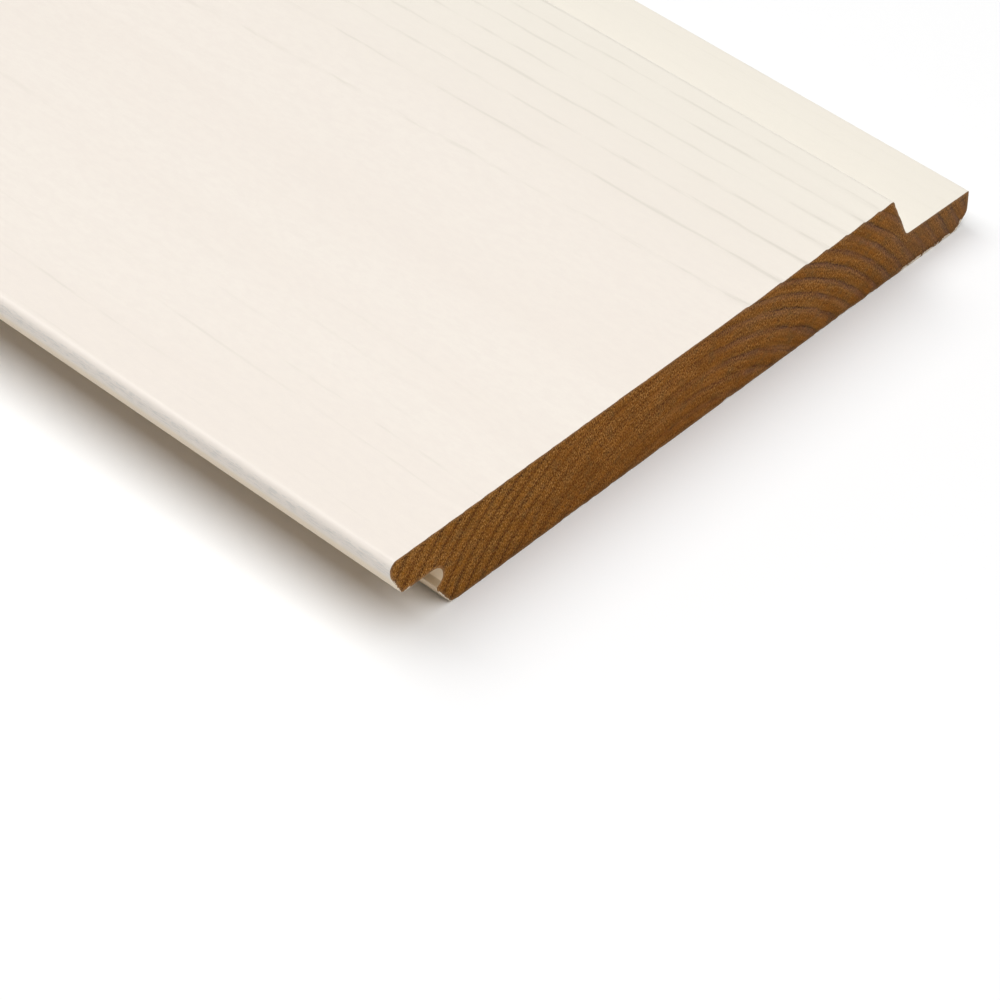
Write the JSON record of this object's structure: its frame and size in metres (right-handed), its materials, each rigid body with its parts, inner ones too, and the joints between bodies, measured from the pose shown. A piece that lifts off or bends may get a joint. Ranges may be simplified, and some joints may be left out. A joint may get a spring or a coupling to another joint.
{
  "type": "bevel siding board",
  "caption": "Long painted timber siding board: rounded nose over an undercut groove along one edge, raked shoulder and chamfered tongue along the other, bare end grain.",
  "frame": {"origin": "in the plane of the back face, halfway along the length and halfway across the overall width", "axes": "+X along the length, +Y across the width from the rounded nose to the tongue, which is up the wall, +Z out of the painted face, towards the weather"},
  "size_m": [2.4, 0.143, 0.018],
  "materials": {
    "painted_wood": "satin"
  },
  "bodies": {
    "root": {"siding_board": "painted_wood"}
  },
  "joints": []
}
